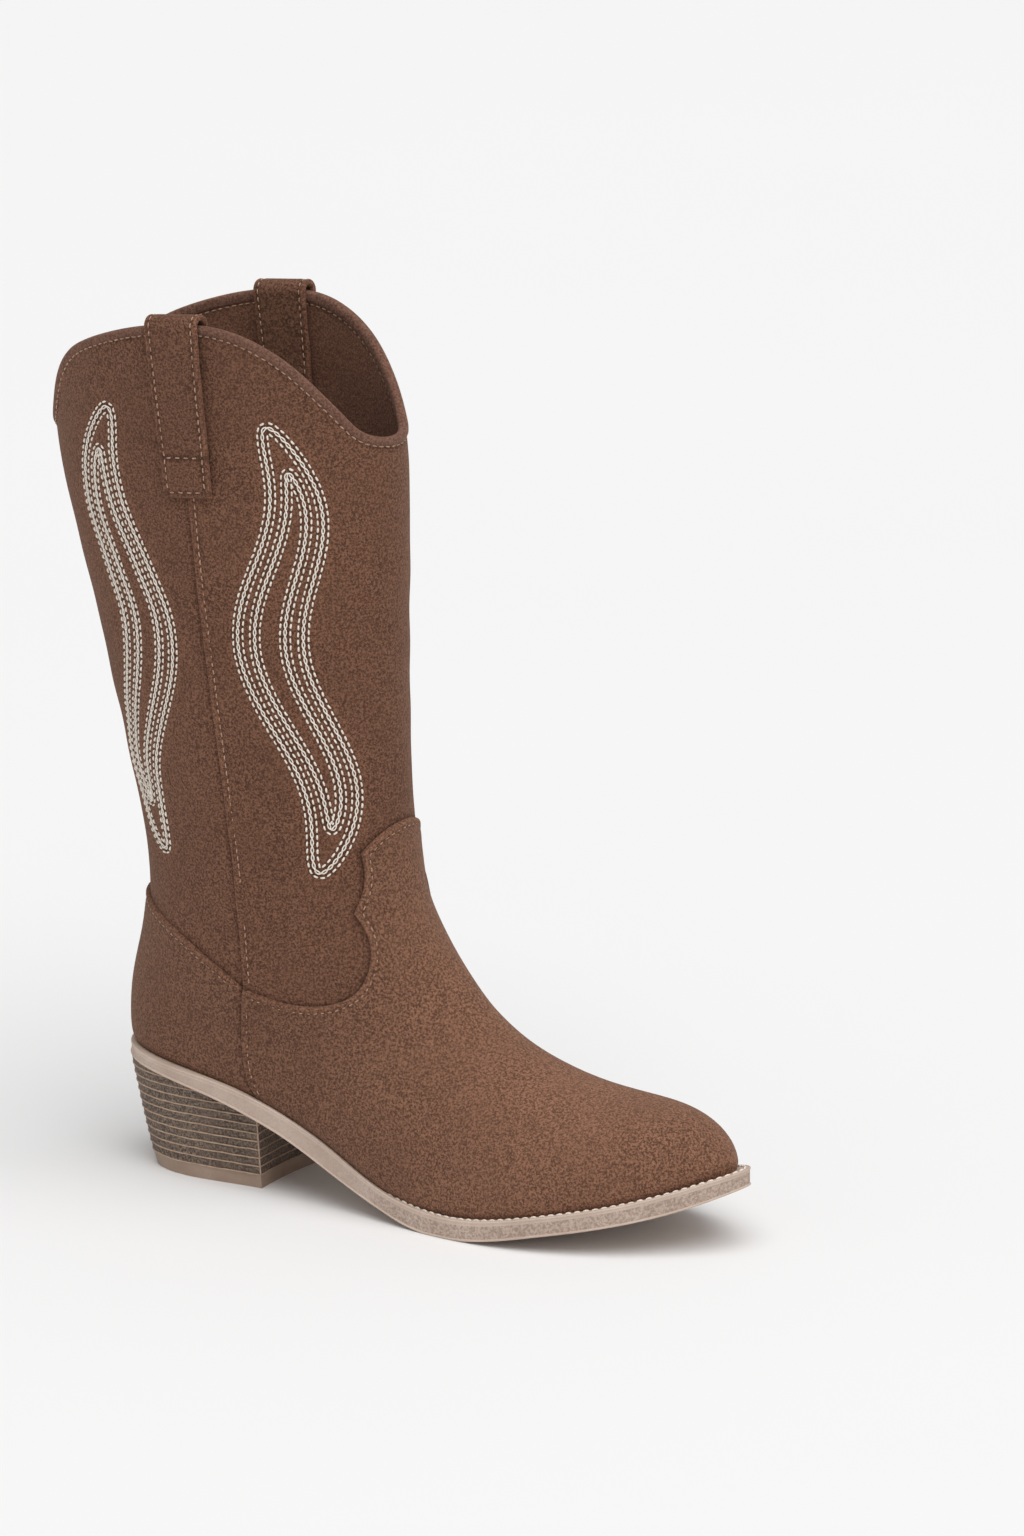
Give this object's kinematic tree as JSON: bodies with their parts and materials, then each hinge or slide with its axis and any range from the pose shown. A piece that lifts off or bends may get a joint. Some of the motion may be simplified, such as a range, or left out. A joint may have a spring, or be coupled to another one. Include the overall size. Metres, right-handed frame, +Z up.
{
  "type": "cowboy boot",
  "caption": "Right pull-on western boot with scalloped top, two pull straps, pointed toe, welted sole and stacked block heel.",
  "frame": {"origin": "on the floor, under the middle of the heel's top lift", "axes": "+X towards the toe, +Y towards the inner side of the foot, +Z up along the leg"},
  "size_m": [0.303, 0.0892, 0.3432],
  "materials": {
    "shaft_suede": "soft fine-nap suede",
    "vamp_suede": "soft fine-nap suede, a little lighter on top of the foot",
    "strap_suede": "soft fine-nap suede, doubled and edge stitched",
    "binding": "folded edge, slightly lighter than the shaft",
    "lining": "dark brown brushed microsuede",
    "stiffener_board": "thermoformed fibre stiffener",
    "interlining": "woven cotton backing",
    "insole_board": "pressed fibre board",
    "cork": "ground cork sheet",
    "sock": "brushed microsuede sock",
    "foam": "soft latex foam",
    "steel": "plain rolled steel",
    "sole_rubber": "speckled beige moulded rubber",
    "welt_rubber": "beige moulded welt with cream stitches",
    "heel_stack": "stacked-leather look, dark grain with light glue lines",
    "top_lift_rubber": "plain beige rubber tread",
    "thread": "cream polyester stitching thread",
    "seam_thread": "tan polyester stitching thread"
  },
  "bodies": {
    "root": {"counter_cover": "vamp_suede", "forefoot_filler": "cork", "heel_lift_01": "heel_stack", "heel_lift_02": "heel_stack", "heel_lift_03": "heel_stack", "heel_lift_04": "heel_stack", "heel_lift_05": "heel_stack", "heel_lift_06": "heel_stack", "heel_lift_07": "heel_stack", "heel_lift_08": "heel_stack", "heel_lift_09": "heel_stack", "heel_lift_10": "heel_stack", "heel_lift_11": "heel_stack", "heel_lining": "lining", "heel_nails": "steel", "heel_pad": "foam", "heel_stiffener": "stiffener_board", "insole_board": "insole_board", "outsole": "sole_rubber", "pull_strap_inner": "strap_suede", "pull_strap_outer": "strap_suede", "shaft_back_panel": "shaft_suede", "shaft_front_panel": "shaft_suede", "shaft_lining_back": "lining", "shaft_lining_front": "lining", "shank": "steel", "sock_liner": "sock", "toe_puff": "stiffener_board", "top_lift": "top_lift_rubber", "topline_binding": "binding", "vamp": "vamp_suede", "vamp_interlining": "interlining", "vamp_lining": "lining", "waist_filler": "cork", "welt": "welt_rubber"}
  },
  "joints": []
}
